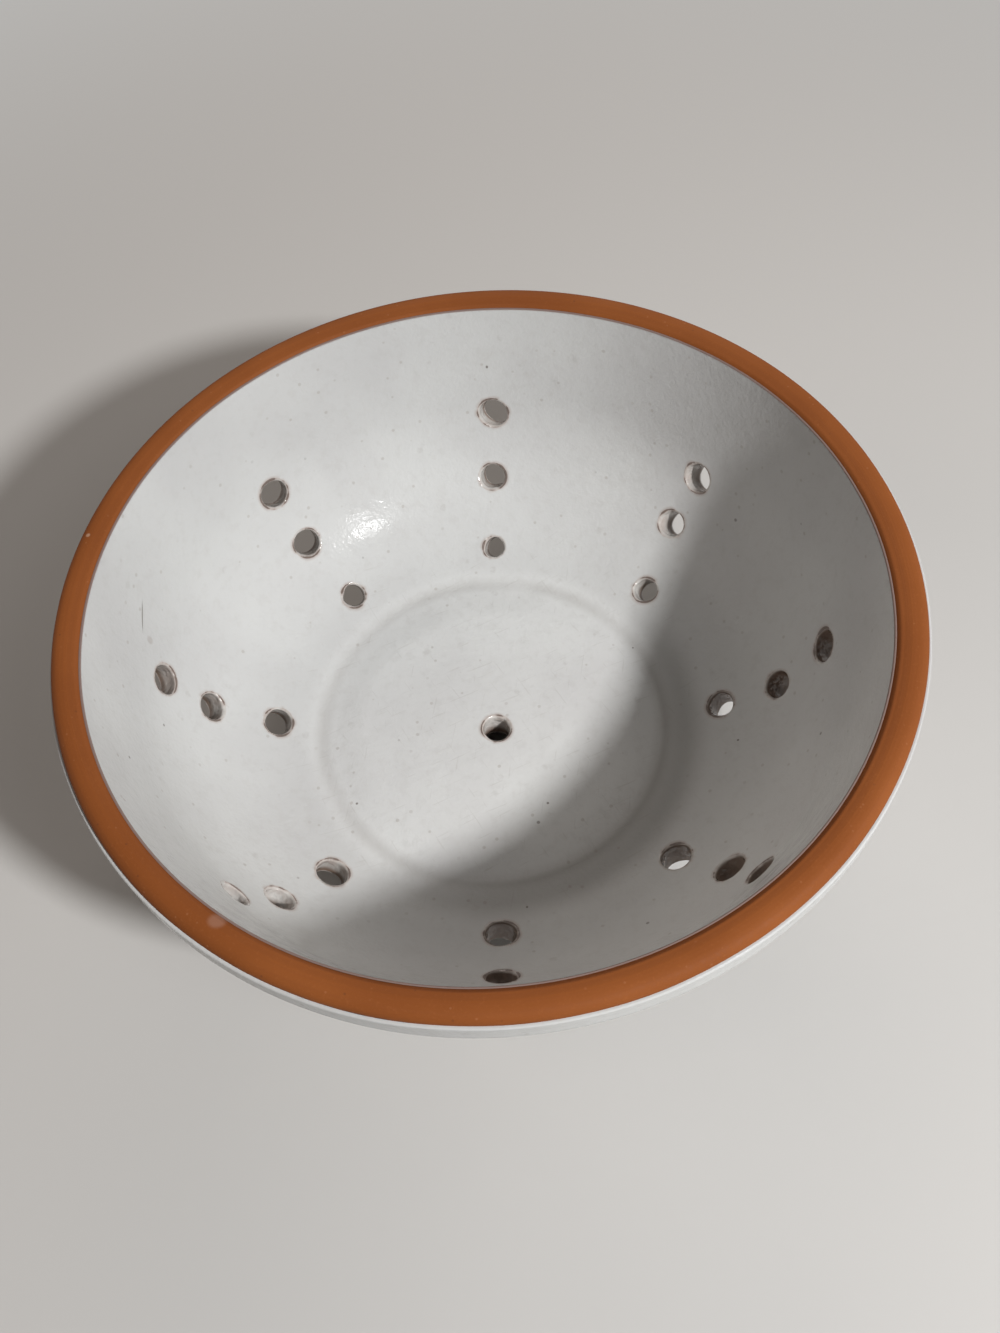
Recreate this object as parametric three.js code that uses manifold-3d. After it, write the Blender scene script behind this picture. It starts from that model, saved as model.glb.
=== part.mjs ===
// Berry bowl: a thrown red-clay bowl with a turned foot, a bare rim, white glaze
// inside and out, and drain holes punched through the wall and the floor.
// Millimetres, +Z up. The origin is on the table, under the middle of the foot.
import * as THREE from "three";
import { mergeVertices } from "three/addons/utils/BufferGeometryUtils.js";
import Module from "manifold-3d";

const wasm = await Module();
wasm.setup();
const { Manifold, Mesh: SolidMesh } = wasm;

// Driving dimensions: the bowl
const OUTSIDE_DIAMETER = 201.5; // over the glaze, just under the rim
const HEIGHT = 80; // table to the crest of the rim
const WALL = 7; // inside face to outside face, square to the wall
const WALL_SLOPE = 77.1; // degrees from level, above the curve
const FLOOR_RADIUS = 39; // where the floor starts to turn up into the wall
const FLOOR_THICKNESS = 9; // at the middle of the floor

// Raised disc in the floor, with a groove round it
const DISC_RADIUS = 36; // its level top
const DISC_EDGE = 10.8; // width of the slope down to the groove
const DISC_STEP = 1.1; // height over the groove

// Bare rim
const RIM_BAND = 7.7; // seen from above, inside glaze line to outside edge
const RIM_BEVEL = 3.4; // inner part of the band, sloping up to the crest
const RIM_CREST = 1.5; // level part of the band
const RIM_ROUND = 2.2; // height of the rounded outer side
const INSIDE_LINE = 1.2; // inside glaze line, under the crest
const OUTSIDE_LINE = 0.4; // outside glaze line, under the rounded side
const COLLAR = 5.9; // upright face under the outside glaze line

// Foot ring
const FOOT_RADIUS = 53; // outside, over the glaze, where it leaves the wall
const FOOT_WIDTH = 7.5; // inside to outside
const FOOT_RECESS = 6.2; // hollow under the floor, inside the ring
const FOOT_DRAFT = 0.7; // lean of each side
const FOOT_BEVEL = 0.9; // edges at the table
const FOOT_FILLET = 1.2; // corners at the wall and in the hollow
const FOOT_LINE = 3; // lower edge of the outside glaze, over the table

// Glaze
const GLAZE = 0.45; // thickness of a coat
const SEAT = 0.3; // between a coat and the clay under it

// Drain holes, punched by hand. Each ring has the slope of the wall at its marks, the
// punch's tilt from the vertical, its swing from the radius and its lean to +Y, in
// degrees, then how far each mark strays: round the bowl in degrees, up the wall in mm.
const DRAIN_BORE = 7.4; // clear of the glaze
const COLUMNS = 8;
const RINGS = [
  {
    name: "low", slope: 26.4, tilt: 29, swing: 17, lean: 10,
    drift: [0.4, -2.4, 0.1, -0.8, -1.2, 0.4, -0.4, 0.4],
    climb: [0.2, -1.5, -2.1, -0.6, 0.3, 1.4, 1.6, 1.9],
  },
  {
    name: "mid", slope: 49.1, tilt: 52, swing: 14, lean: 0,
    drift: [-0.2, 1.5, -0.4, 0.1, -0.1, 0.9, 0, 2],
    climb: [-1.5, -0.6, -0.1, 0.8, 0.7, 1.7, 1.5, 0.7],
  },
  {
    name: "high", slope: 69.4, tilt: 55, swing: 14, lean: 0,
    drift: [0.8, 0.4, -1.3, 0.5, -0.2, -0.7, -0.2, 1.2],
    climb: [0, -1.6, 2.4, 1.7, 0.5, 0.9, -0.7, -1.4],
  },
];
const CENTRE_SHIFT = [-0.7, -2];

// Facets
const ROUND = 48; // round the bowl
const ARC_STEPS = 5; // up the curve of the wall
const RIM_STEPS = 3; // over the rounded rim
const BORE_SIDES = 10;

// Worked out from the driving dimensions
const RAD = Math.PI / 180;
const X_AXIS = new THREE.Vector3(1, 0, 0);
const CLAY = GLAZE + SEAT; // depth of the clay under a glazed face
const outerR = OUTSIDE_DIAMETER / 2;
const clayR = outerR - CLAY;
const slope = WALL_SLOPE * RAD;
const rimR = clayR - RIM_BAND; // inside line of the glaze
const rimZ = HEIGHT - INSIDE_LINE;
const discZ = FOOT_RECESS + FLOOR_THICKNESS;
const grooveR = DISC_RADIUS + DISC_EDGE;
const lineZ = HEIGHT - RIM_ROUND - OUTSIDE_LINE;
const collarZ = lineZ - COLLAR;

// The inside face runs level, then round an arc, then straight up to the rim.
// The arc's radius follows from the two ends, once the floor's level is known,
// and the floor lies under the disc by the step at the groove.
const SETTLE = 12; // passes, each nearer to the floor's level
function wallArc(floorZ) {
  const rise = Math.tan(slope) * (rimR - FLOOR_RADIUS) - (rimZ - floorZ);
  return (rise * Math.cos(slope)) / (1 - Math.cos(slope));
}
function grooveClimb(arc) {
  return arc - Math.sqrt(arc ** 2 - (grooveR - FLOOR_RADIUS) ** 2);
}
let floorZ = discZ - DISC_STEP;
for (let i = 0; i < SETTLE; i++) {
  floorZ = discZ - DISC_STEP - grooveClimb(wallArc(floorZ));
}
const arcR = wallArc(floorZ);
const arcZ = floorZ + arcR;
const outArcR = arcR + WALL;

// Points of the faces as [radius, height], sunk by a depth into the wall
function onArc(radius, turn) {
  return [FLOOR_RADIUS + radius * Math.sin(turn), arcZ - radius * Math.cos(turn)];
}
function turnAt(radius, r) {
  return Math.asin((r - FLOOR_RADIUS) / radius);
}
function insideFace(depth) {
  const start = turnAt(arcR, grooveR);
  const points = [[0, discZ - depth], [DISC_RADIUS, discZ - depth]];
  for (let i = 0; i <= ARC_STEPS; i++) {
    const turn = start + ((slope - start) * i) / ARC_STEPS;
    points.push(onArc(arcR + depth, turn));
  }
  points.push([rimR + depth * Math.sin(slope), rimZ - depth * Math.cos(slope)]);
  return points;
}
// The outside face drops from the glaze line under the rim, leans in to meet
// the arc, and follows it to the foot, whose side it covers in part.
const footTurn = turnAt(outArcR, FOOT_RADIUS + FOOT_FILLET);
const footTopZ = onArc(outArcR, footTurn)[1] - FOOT_FILLET;
function footSide(z) {
  return FOOT_RADIUS - FOOT_DRAFT * (1 - z / footTopZ);
}
function outsideFace(depth) {
  const reach = Math.hypot(outerR - FLOOR_RADIUS, collarZ - arcZ);
  const lift = Math.atan2(collarZ - arcZ, outerR - FLOOR_RADIUS);
  const top = Math.PI / 2 + lift - Math.acos(Math.min(1, outArcR / reach));
  const points = [[outerR - depth, lineZ], [outerR - depth, collarZ]];
  for (let i = 0; i <= ARC_STEPS; i++) {
    const turn = top + ((footTurn - top) * i) / ARC_STEPS;
    points.push(onArc(outArcR - depth, turn));
  }
  points.push([FOOT_RADIUS - depth, footTopZ]);
  points.push([footSide(FOOT_LINE) - depth, FOOT_LINE]);
  return points;
}

// Solids
function closedSolid(geometry) {
  const bare = geometry.clone();
  bare.deleteAttribute("normal");
  bare.deleteAttribute("uv");
  const merged = mergeVertices(bare, 1e-4);
  const position = merged.getAttribute("position");
  const index = merged.getIndex().array;
  const triangles = [];
  let volume = 0;
  const a = new THREE.Vector3();
  const b = new THREE.Vector3();
  const c = new THREE.Vector3();
  for (let i = 0; i < index.length; i += 3) {
    const [p, q, r] = [index[i], index[i + 1], index[i + 2]];
    if (p === q || q === r || r === p) continue;
    triangles.push([p, q, r]);
    a.fromBufferAttribute(position, p);
    b.fromBufferAttribute(position, q);
    c.fromBufferAttribute(position, r);
    volume += a.dot(b.cross(c));
  }
  const triVerts = new Uint32Array(
    triangles.flatMap(([p, q, r]) => (volume > 0 ? [p, q, r] : [p, r, q])),
  );
  const vertProperties = new Float32Array(position.array);
  return new Manifold(new SolidMesh({ numProp: 3, vertProperties, triVerts }));
}
function revolve(points, sides) {
  const profile = points.map(([r, z]) => new THREE.Vector2(r, z));
  const halfFacet = Math.PI / sides; // puts a flat, not an edge, at each column
  const turned = new THREE.LatheGeometry(profile, sides, halfFacet);
  return closedSolid(turned.rotateX(Math.PI / 2));
}
function closeProfile(points) {
  return [...points, points[0]];
}
function toGeometry(solid) {
  const mesh = solid.getMesh();
  const geometry = new THREE.BufferGeometry();
  const position = new Float32Array(mesh.vertProperties);
  geometry.setAttribute("position", new THREE.BufferAttribute(position, 3));
  geometry.setIndex(new THREE.BufferAttribute(new Uint32Array(mesh.triVerts), 1));
  geometry.computeVertexNormals();
  return geometry;
}

// The rim is bare: a bevel inside, a level crest, and a rounded outer side
const crestR = rimR + RIM_BEVEL;
const roundR = crestR + RIM_CREST;
const rimEdge = [[crestR, HEIGHT]];
for (let i = 0; i <= RIM_STEPS; i++) {
  const turn = (Math.PI / 2) * (i / RIM_STEPS);
  rimEdge.push([
    roundR + (clayR - roundR) * Math.sin(turn),
    HEIGHT - RIM_ROUND * (1 - Math.cos(turn)),
  ]);
}
// The foot ring is turned from the same clay and stands on a flat, bare face
const footInR = FOOT_RADIUS - FOOT_WIDTH;
const footEdge = [
  [footSide(FOOT_BEVEL) - CLAY, FOOT_BEVEL],
  [footSide(0) - CLAY - FOOT_BEVEL, 0],
  [footInR + FOOT_BEVEL, 0],
  [footInR, FOOT_BEVEL],
  [footInR - FOOT_DRAFT, FOOT_RECESS - FOOT_FILLET],
  [footInR - FOOT_DRAFT - FOOT_FILLET, FOOT_RECESS],
  [0, FOOT_RECESS],
];
const clayProfile = [
  ...insideFace(CLAY), ...rimEdge, ...outsideFace(CLAY), ...footEdge,
];
const insideCoat = [...insideFace(0), ...insideFace(GLAZE).reverse()];
const outsideCoat = closeProfile([
  ...outsideFace(0), ...outsideFace(GLAZE).reverse(),
]);

// Drain holes
const boreR = DRAIN_BORE / 2;
const punchR = boreR + CLAY;
const punchReach = 2 * (WALL + FLOOR_THICKNESS); // either way from its mark
function tool(geometry, hole) {
  const along = new THREE.Quaternion().setFromUnitVectors(
    new THREE.Vector3(0, 1, 0), hole.axis,
  );
  return geometry.applyQuaternion(along).translate(...hole.point);
}
function punch(hole) {
  const rod = new THREE.CylinderGeometry(punchR, punchR, 2 * punchReach, BORE_SIDES);
  return closedSolid(tool(rod, hole));
}
// A lining is a tube along the punch, its ends trimmed to the glazed faces
function lining(hole) {
  const outer = punchR - SEAT;
  const section = closeProfile([
    [outer, -1], [outer, 1], [boreR, 1], [boreR, -1],
  ]).map(([r, z]) => new THREE.Vector2(r, z));
  const tube = tool(new THREE.LatheGeometry(section, BORE_SIDES), hole);
  const position = tube.getAttribute("position");
  const start = new THREE.Vector3(...hole.point);
  const p = new THREE.Vector3();
  for (let i = 0; i < position.count; i++) {
    p.fromBufferAttribute(position, i);
    const t = p.clone().sub(start).dot(hole.axis);
    const face = t < 0 ? insideHeight : outsideHeight;
    p.addScaledVector(hole.axis, -t);
    p.addScaledVector(hole.axis, reachTo(face, p, hole.axis));
    position.setXYZ(i, p.x, p.y, p.z);
  }
  return closedSolid(tube);
}
function heightOn(points, r) {
  const within = Math.min(r, points[points.length - 1][0]);
  const i = Math.max(1, points.findIndex(([x]) => x >= within));
  const [[r0, z0], [r1, z1]] = [points[i - 1], points[i]];
  return z0 + ((z1 - z0) * (within - r0)) / (r1 - r0);
}
const insideLine = insideFace(0);
const outsideLine = outsideFace(0).slice(1, -2).reverse(); // collar to foot
function insideHeight(r) {
  return heightOn(insideLine, r);
}
function outsideHeight(r) {
  return r < FOOT_RADIUS ? FOOT_RECESS : heightOn(outsideLine, r);
}
// Distance along the punch from a point beside its axis to a face of the wall
const HALVINGS = 40;
function reachTo(face, from, axis) {
  let [near, far] = [-punchReach, punchReach];
  const p = new THREE.Vector3();
  for (let i = 0; i < HALVINGS; i++) {
    const middle = (near + far) / 2;
    p.copy(from).addScaledVector(axis, middle);
    if (p.z > face(Math.hypot(p.x, p.y))) near = middle;
    else far = middle;
  }
  return near;
}
function holeOnWall(ring, column) {
  const azimuth = ((column * 360) / COLUMNS + ring.drift[column % ring.drift.length]) * RAD;
  const climb = ring.climb[column % ring.climb.length];
  const turn = ring.slope * RAD;
  const [r0, z0] = onArc(arcR, turn);
  const r = r0 + climb * Math.cos(turn);
  const tilt = ring.tilt * RAD;
  const heading = azimuth - ring.swing * RAD;
  const axis = new THREE.Vector3(
    Math.sin(tilt) * Math.cos(heading), Math.sin(tilt) * Math.sin(heading), -Math.cos(tilt),
  ).applyAxisAngle(X_AXIS, ring.lean * RAD);
  return {
    name: `drain_lining_${ring.name}_${column + 1}`,
    point: [r * Math.cos(azimuth), r * Math.sin(azimuth), z0 + climb * Math.sin(turn)],
    axis,
  };
}
const holes = [{
  name: "drain_lining_centre",
  point: [...CENTRE_SHIFT, discZ],
  axis: new THREE.Vector3(0, 0, -1),
}];
for (const ring of RINGS) {
  for (let column = 0; column < COLUMNS; column++) {
    holes.push(holeOnWall(ring, column));
  }
}
const punches = Manifold.union(holes.map(punch));

// The bowl
const clayMaterial = { color: 0xa0592f, roughness: 0.75, metalness: 0 };
const glazeMaterial = { color: 0xdcdcd8, roughness: 0.3, metalness: 0 };
const bowl = new THREE.Group();
function addPiece(name, solid, look) {
  const mesh = new THREE.Mesh(toGeometry(solid), new THREE.MeshStandardMaterial(look));
  mesh.name = name;
  bowl.add(mesh);
}
addPiece("clay_body", revolve(clayProfile, ROUND).subtract(punches), clayMaterial);
addPiece("inside_glaze", revolve(insideCoat, ROUND).subtract(punches), glazeMaterial);
addPiece("outside_glaze", revolve(outsideCoat, ROUND).subtract(punches), glazeMaterial);
for (const hole of holes) {
  addPiece(hole.name, lining(hole), glazeMaterial);
}

export default bowl;
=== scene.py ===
import math

import bmesh
import bpy
import numpy as np
from mathutils import Matrix, Vector
from mathutils.geometry import delaunay_2d_cdt


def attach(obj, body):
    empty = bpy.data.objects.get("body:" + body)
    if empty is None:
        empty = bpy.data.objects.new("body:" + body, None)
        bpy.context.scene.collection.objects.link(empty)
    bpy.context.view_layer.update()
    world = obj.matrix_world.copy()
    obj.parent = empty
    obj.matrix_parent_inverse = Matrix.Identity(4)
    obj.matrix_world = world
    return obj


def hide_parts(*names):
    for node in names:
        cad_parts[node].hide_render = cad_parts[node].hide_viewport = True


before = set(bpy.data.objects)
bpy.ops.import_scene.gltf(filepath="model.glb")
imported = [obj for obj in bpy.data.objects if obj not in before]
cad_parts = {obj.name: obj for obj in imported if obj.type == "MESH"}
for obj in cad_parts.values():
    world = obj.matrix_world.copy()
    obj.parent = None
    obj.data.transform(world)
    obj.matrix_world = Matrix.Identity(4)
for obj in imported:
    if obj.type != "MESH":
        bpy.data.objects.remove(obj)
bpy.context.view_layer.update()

# Sizes of the bowl in millimetres, as in the CAD model
MM = 0.001
OUTSIDE_R = 100.75
HEIGHT = 80.0
WALL = 7.0
WALL_SLOPE = math.radians(77.1)
FLOOR_R = 39.0
FLOOR_THICKNESS = 9.0
GROOVE_R = 46.8
DISC_STEP = 1.1
RIM_BAND = 7.7
RIM_BEVEL = 3.4
RIM_CREST = 1.5
RIM_ROUND = 2.2
INSIDE_LINE = 1.2
OUTSIDE_LINE = 0.4
COLLAR = 5.9
FOOT_R = 53.0
FOOT_WIDTH = 7.5
FOOT_RECESS = 6.2
FOOT_DRAFT = 0.7
FOOT_BEVEL = 0.9
FOOT_FILLET = 1.2
FOOT_LINE = 3.0
CLAY_DEPTH = 0.75
BORE_R = 3.7
COLUMNS = 8
CENTRE_SHIFT = (-0.7, -2.0)
CAD_SIDES = 48

# The turned faces are drawn just inside the flats of the CAD model's many-sided ones
JUST_INSIDE = 0.9999
INSIDE_FACETS = JUST_INSIDE * math.cos(math.pi / CAD_SIDES)

# Rings of drain holes: slope of the wall, the punch's tilt, swing and lean in degrees,
# how far each mark strays (degrees round, millimetres up), how much wider its glaze leaves it,
# and how much painted shade darkens its sleeve, most in the holes on the shaded right and near side
RINGS = (
    dict(name="low", slope=26.4, tilt=29.0, swing=17.0, lean=10.0,
         drift=(0.4, -2.4, 0.1, -0.8, -1.2, 0.4, -0.4, 0.4),
         climb=(0.2, -1.5, -2.1, -0.6, 0.3, 1.4, 1.6, 1.9),
         wider=(-0.2, -0.4, -0.8, -0.5, 0.0, 0.3, 0.2, 0.2),
         bare=(0.95, 0.0, 0.0, 0.0, 0.1, 0.1, 0.95, 0.95)),
    dict(name="mid", slope=49.1, tilt=52.0, swing=14.0, lean=0.0,
         drift=(-0.2, 1.5, -0.4, 0.1, -0.1, 0.9, 0.0, 2.0),
         climb=(-1.5, -0.6, -0.1, 0.8, 0.7, 1.7, 1.5, 0.7),
         wider=(-0.1, -0.1, -0.1, 0.1, -0.1, 0.1, -0.1, 0.3),
         bare=(0.9, 0.0, 0.0, 0.1, 0.3, 0.0, 0.75, 0.8)),
    dict(name="high", slope=69.4, tilt=55.0, swing=14.0, lean=0.0,
         drift=(0.8, 0.4, -1.3, 0.5, -0.2, -0.7, -0.2, 1.2),
         climb=(0.0, -1.6, 2.4, 1.7, 0.5, 0.9, -0.7, -1.4),
         wider=(0.2, 0.1, 0.2, 0.2, 0.1, 0.0, 0.0, 0.0),
         bare=(0.8, 0.0, 0.0, 0.1, 0.3, 0.0, 0.8, 0.7)),
)

# The floor's disc and the groove round it: centre and radius, then the groove's section
PLATEAU = (-1.6, -1.2, 36.0)
GROOVE = (-2.0, 0.4, 46.9)
GROOVE_DEPTH = 0.14
GROOVE_SPREAD = 1.3
GROOVE_SOFT = 1.8
GROOVE_FAR = 60.0
DISC_CROWN = 1.7

# Throwing rings: depth, pitch up the wall, and where those of the inside begin
INSIDE_RING = 0.05
INSIDE_PITCH = 11.0
INSIDE_RINGS_BEGIN = (46.0, 58.0)
OUTSIDE_RING = 0.04
OUTSIDE_PITCH = 9.0
OUTSIDE_RING_PHASE = 1.0

# Waves as height, count round the bowl and phase, and how far from an edge they fade
INSIDE_RING_SWAY = ((1.3, 1, 0.0), (0.4, 2, 0.0))
INSIDE_EDGE_WAVES = ((0.05, 3, 0.7), (0.04, 7, 2.1), (0.02, 19, 0.0))
INSIDE_EDGE_FADE = 6.0
OUTSIDE_EDGE_WAVES = ((0.16, 5, 1.0), (0.14, 11, 0.3), (0.10, 23, 2.0))
OUTSIDE_EDGE_FADE = 5.0
FOOT_EDGE_WAVES = ((0.3, 4, 0.0), (0.2, 9, 1.1))
FOOT_EDGE_FADE = 4.0

# The line of the inside glaze: how it differs from the CAD circle, and between which heights and radii
LINE_GROWS = 0.4
LINE_SHIFTS = 0.4
LINE_SHIFT_TURN = math.radians(200)
LINE_HEIGHTS = (45.0, 78.0)
LINE_RADII = (93.5, 97.0)

# Coats: the back under the glaze, the lip at a hole, and the rounded edges with the seat below them
COAT_BACK = 0.7
BACK_CLEAR = 0.05
EDGE_SINK = 0.02
LIP = 0.7
TAPER = 2.0
INSIDE_EDGE = 0.38
INSIDE_SEAT = 0.45
OUTSIDE_EDGE = 0.5

# Marks on the coats: how stained each top edge is, then share and width of the stain at the line,
# of the wear at the foot, and of the wear round the holes
INSIDE_STAIN = 1.0
OUTSIDE_STAIN = 0.0
EDGE_STAIN = 0.35
EDGE_STAIN_WIDTH = 0.5
FOOT_WEAR = 0.6
FOOT_WEAR_WIDTH = 1.5
HALO = 0.7
HALO_WIDTH = 0.9

# Sleeves: waves round the bore (height, count, phase per seed), the run of glaze some have, and the back
SLEEVE_WAVES = ((0.11, 2, 1.0), (0.08, 3, 2.7), (0.04, 5, 1.0))
SLEEVE_COAT = 0.05
SLEEVE_BACK_INSET = 0.15
SLEEVE_BACK_DEPTH = 0.55
RUN_HEIGHT = 0.32
RUN_WIDTH = 0.45
RUN_TURN = 1.9
RUN_EVERY = 3.0
RUN_BELOW = 1.2
SWELL = 0.12
SWELL_COUNT = 2
SWELL_TWIST = 5.0
FIRST_SEED = 1.0
SEED_STEP = 1.7
CENTRE_SEED = 0.6
CENTRE_UNDER_LIP = 0.3

# Wear in the sleeves: over the lip, most where it breaks; and painted shade where the bore turns dark
LIP_WEAR = 0.45
BREAK_WEAR = 0.75
BREAK_TURN = 0.3
BREAK_WIDTH = 0.35
BORE_WEAR = 0.6
BORE_DARKENS = (0.3, 0.9)

# Softness of the turned corners, the shaded bevel of the rim, and its tucked inner edge
OUTSIDE_SOFT = 0.7
CLAY_SOFT = 0.3
UNDER_SOFT = 0.25
RIM_SOFT = 0.35
RIM_OVERLAP = 1.0
BEVEL_SPAN = (-0.5, 0.3)
BEVEL_DEPTH = 1.0
TUCK_SPAN = (0.4, 1.3)
TUCK = 1.6

# Fineness of the meshes: points round, and lengths between them
ROUND = 288
LEAST_ROUND = 6
MOUTH = 48
HALO_POINTS = 36
ARC_POINTS = 60
RIM_POINTS = 24
SLEEVE_RINGS = 9
STEP = 0.05
NUDGE = 0.2
SLOPE_STEP = 0.1
COAT_SPACING = 2.2
HIDDEN_STEP = 4.0
HIDDEN_SPACING = 5.0
UNDER_STEP = 2.0
UNDER_SPACING = 3.0
UNDER_REACH = 41.0
UNDER_GAP = 0.3
RIM_START = 0.15
RIM_STEP = 0.3
FOOT_START = 0.2
FOOT_STEP = 0.4
LIP_RINGS = (0.5, 1.2, 2.4)
RING_GAP = 0.9
HOLE_GAP = 1.0
LIP_TURNS = np.radians((0, 18, 36, 54, 72, 90))
EDGE_TURNS = np.radians((20, 40, 60, 80, 90))

# Rings of points up a coat: start, end and spacing of its stretches, the wall's start and how far
# below the top it ends, and the rings near an edge by their distance from it
WALL_SPACING = 2.4
INSIDE_STRETCHES = ((0.0, 33.0, 2.6), (34.0, 42.0, 1.0), (42.5, 51.5, 0.5))
INSIDE_WALL = (53.0, 3.0)
INSIDE_LAST = (2.0, 1.3, 0.8, 0.4, 0.0)
OUTSIDE_FIRST = (0.0, 0.5, 1.2, 2.0)
OUTSIDE_FOOT = (3.2, 10.0, 0.7)
OUTSIDE_WALL = (12.0, 6.0)
OUTSIDE_LAST = 5.0
OUTSIDE_LAST_SPACING = 0.5

# Working values
FULL_TURN = 2 * math.pi
UP = np.array((0.0, 0.0, 1.0))
TINY = 1e-6
MERGE = 1e-5  # flat points nearer than this are one
ANY_R = (0.0, 1e9)
FLOOR_ROUNDS = 12  # to find the floor's height
PUNCH_REACH = 32.0  # how far a punch is followed each way from its mark
HALVINGS = 44
SOFT_REACH = 3  # how many widths of the bell curve count
UPRIGHT = 0.99
NEAR_SIDE = 14.0  # points further along a hole's axis belong to the far wall
OUTSIDE_START = 50.0  # where the outside starts when it is laid out flat

# Radii between which punches meet the outside and the underside
PUNCHED_FROM = FOOT_R + 1
OUTSIDE_PUNCHED_TO = OUTSIDE_R - 0.5
CLAY_PUNCHED_TO = OUTSIDE_R - 1.5
UNDER_PUNCHED = (0.0, 40.0)

clay_r = OUTSIDE_R - CLAY_DEPTH
rim_r = clay_r - RIM_BAND
rim_z = HEIGHT - INSIDE_LINE
disc_z = FOOT_RECESS + FLOOR_THICKNESS
line_z = HEIGHT - RIM_ROUND - OUTSIDE_LINE
collar_z = line_z - COLLAR


# Lines of the section
def wall_arc(floor_z):
    """Radius of the arc that joins the floor to the straight upper wall."""
    rise = math.tan(WALL_SLOPE) * (rim_r - FLOOR_R) - (rim_z - floor_z)
    return rise * math.cos(WALL_SLOPE) / (1 - math.cos(WALL_SLOPE))


# The floor's height and the arc depend on each other, so they are found together
floor_z = disc_z - DISC_STEP
for _ in range(FLOOR_ROUNDS):
    arc = wall_arc(floor_z)
    floor_z = disc_z - DISC_STEP - (arc - math.sqrt(arc**2 - (GROOVE_R - FLOOR_R) ** 2))
arc_r = wall_arc(floor_z)
arc_z = floor_z + arc_r
out_arc_r = arc_r + WALL


def on_arc(radius, turn):
    """A point on the wall's arc, or on one beside it, at an angle from straight down."""
    return (FLOOR_R + radius * math.sin(turn), arc_z - radius * math.cos(turn))


def rim_point(depth, back=0.0):
    """A point of the inside face at the rim, sunk by a depth, some way back down the wall."""
    r = rim_r + depth * math.sin(WALL_SLOPE) - back * math.cos(WALL_SLOPE)
    z = rim_z - depth * math.cos(WALL_SLOPE) - back * math.sin(WALL_SLOPE)
    return (r, z)


def inside_line(depth, rim_depth):
    """The inside from the middle to the rim, sunk by a depth, and by another at the rim."""
    points = [(0.0, floor_z - depth), (FLOOR_R, floor_z - depth)]
    points += [on_arc(arc_r + depth, t) for t in np.linspace(0, WALL_SLOPE, ARC_POINTS)[1:]]
    points += [rim_point(depth, TAPER), rim_point(rim_depth)]
    return points


foot_turn = math.asin((FOOT_R + FOOT_FILLET - FLOOR_R) / out_arc_r)
foot_top_z = on_arc(out_arc_r, foot_turn)[1] - FOOT_FILLET


def foot_side(z):
    """Radius of the foot ring's drafted side at a height."""
    return FOOT_R - FOOT_DRAFT * (1 - z / foot_top_z)


def outside_line(depth):
    """The outside from the glaze's lower edge to the line under the rim, sunk by a depth."""
    reach = math.hypot(OUTSIDE_R - FLOOR_R, collar_z - arc_z)
    lift = math.atan2(collar_z - arc_z, OUTSIDE_R - FLOOR_R)
    top = math.pi / 2 + lift - math.acos(min(1, out_arc_r / reach))
    points = [(foot_side(FOOT_LINE) - depth, FOOT_LINE), (FOOT_R - depth, foot_top_z)]
    points += [on_arc(out_arc_r - depth, t) for t in np.linspace(foot_turn, top, ARC_POINTS)]
    points += [(OUTSIDE_R - depth, collar_z), (OUTSIDE_R - depth, line_z)]
    return points


# Small helpers
def smooth(x, low, high):
    """Nought below one end of a span, one above the other, and a soft step between."""
    t = np.clip((x - low) / (high - low), 0, 1)
    return t * t * (3 - 2 * t)


def waves(turn, parts):
    """A sum of sine waves, each given by its height, its count in a turn and its phase."""
    return sum(height * np.sin(count * turn + phase) for height, count, phase in parts)


def turns(count):
    """Angles spaced evenly round a full turn."""
    return np.arange(count) * (FULL_TURN / count)


def unit(vectors):
    """Vectors brought to a length of one."""
    return vectors / np.linalg.norm(vectors, axis=1)[:, None]


def spread(start, end, spacing):
    """Even steps from a start to an end, as near to a spacing as they come."""
    return np.linspace(start, end, max(2, int(round((end - start) / spacing)) + 1))


def soften(values, soft):
    """Values along a profile, smoothed by a bell curve of a given width."""
    if not soft:
        return values
    pad = int(SOFT_REACH * soft / STEP)
    weight = np.exp(-0.5 * (np.arange(-pad, pad + 1) * STEP / soft) ** 2)
    weight /= weight.sum()
    return np.convolve(np.pad(values, pad, "reflect", reflect_type="odd"), weight, "valid")


# Profiles and the faces turned from them
class Profile:
    """A line of (radius, height) points, read by the length along it."""

    def __init__(self, points, soft=0.0):
        line = np.array(points, float)
        length = np.concatenate([[0], np.cumsum(np.hypot(*np.diff(line, axis=0).T))])
        self.length = length[-1]
        self.s = np.linspace(0, self.length, int(self.length / STEP) + 2)
        self.r = soften(np.interp(self.s, length, line[:, 0]), soft)
        self.z = soften(np.interp(self.s, length, line[:, 1]), soft)

    def at(self, s):
        return np.interp(s, self.s, self.r), np.interp(s, self.s, self.z)


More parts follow.
